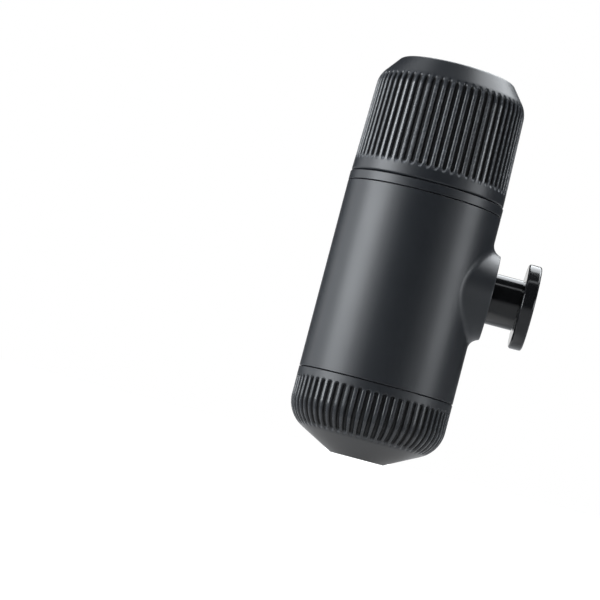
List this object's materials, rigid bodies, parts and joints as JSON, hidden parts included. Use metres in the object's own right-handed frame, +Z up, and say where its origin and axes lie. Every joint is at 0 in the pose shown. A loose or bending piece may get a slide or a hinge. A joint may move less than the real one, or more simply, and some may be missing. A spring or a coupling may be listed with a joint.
{
  "type": "handheld manual espresso maker",
  "caption": "Handheld manual espresso maker: ribbed screw-on tank over a plain cylindrical body with a side pump piston, and a ribbed screw-off outlet head with a filter basket.",
  "frame": {"origin": "centre of the flat face under the outlet head, on the machine's long axis", "axes": "+Z up the long axis from the outlet head to the tank; +X out of the body along the pump piston"},
  "size_m": [0.0825, 0.062, 0.1574],
  "materials": {
    "case_plastic": "fine-grained matt dark grey",
    "gloss_plastic": "polished black",
    "inner_plastic": "satin black",
    "silicone": "soft grey silicone",
    "steel": "stainless, brushed"
  },
  "bodies": {
    "casing": {"body_shell": "case_plastic", "collar_ring": "case_plastic", "tank_socket": "inner_plastic", "inlet_strainer": "inner_plastic", "chassis": "inner_plastic", "chassis_screws": "steel", "group_screws": "steel", "pump_block": "inner_plastic", "cylinder_liner": "steel", "cylinder_plug": "inner_plastic", "inlet_valve": "silicone", "outlet_valve": "silicone", "inlet_oring": "silicone", "outlet_oring": "silicone", "piston_guide": "inner_plastic", "return_spring": "steel", "group_head": "inner_plastic", "group_gasket": "silicone", "shower_screen": "steel"},
    "plunger": {"plunger_rod": "steel", "plunger_seal": "silicone", "rod_screw": "steel"},
    "knob": {"piston_sleeve": "gloss_plastic", "button_cap": "gloss_plastic"},
    "basket": {"filter_basket": "steel"},
    "outlet_head": {"outlet_shell": "case_plastic", "brew_chamber": "inner_plastic", "spout_nozzle": "inner_plastic", "foamer_valve": "silicone"},
    "tank_gasket": {"tank_seal": "silicone"},
    "tank": {"water_tank": "case_plastic"}
  },
  "joints": [
    {"name": "piston_slide", "type": "slide", "parent": "casing", "child": "plunger", "axis": [1, 0, 0], "range_m": [-0.0114, 0], "stiffness_N_per_m": 500, "springref_m": 0.008, "deforming": ["return_spring"]},
    {"name": "knob_turn", "type": "hinge", "parent": "plunger", "child": "knob", "pos_m": [0, 0, 0.074], "axis": [1, 0, 0], "range_deg": [0, 60]},
    {"name": "tank_lift", "type": "slide", "parent": "casing", "child": "tank_gasket", "axis": [0, 0, 1], "range_m": [0, 0.006]},
    {"name": "tank_turn", "type": "hinge", "parent": "tank_gasket", "child": "tank", "pos_m": [0, 0, 0.109], "axis": [0, 0, 1], "range_deg": [0, 270]},
    {"name": "outlet_drop", "type": "slide", "parent": "casing", "child": "basket", "axis": [0, 0, -1], "range_m": [0, 0.006]},
    {"name": "outlet_turn", "type": "hinge", "parent": "basket", "child": "outlet_head", "pos_m": [0, 0, 0.03], "axis": [0, 0, -1], "range_deg": [0, 270]}
  ],
  "couplings": [
    {"joint": "tank_lift", "follows": "tank_turn", "m_per_rad": 0.0012732},
    {"joint": "outlet_drop", "follows": "outlet_turn", "m_per_rad": 0.0012732}
  ]
}
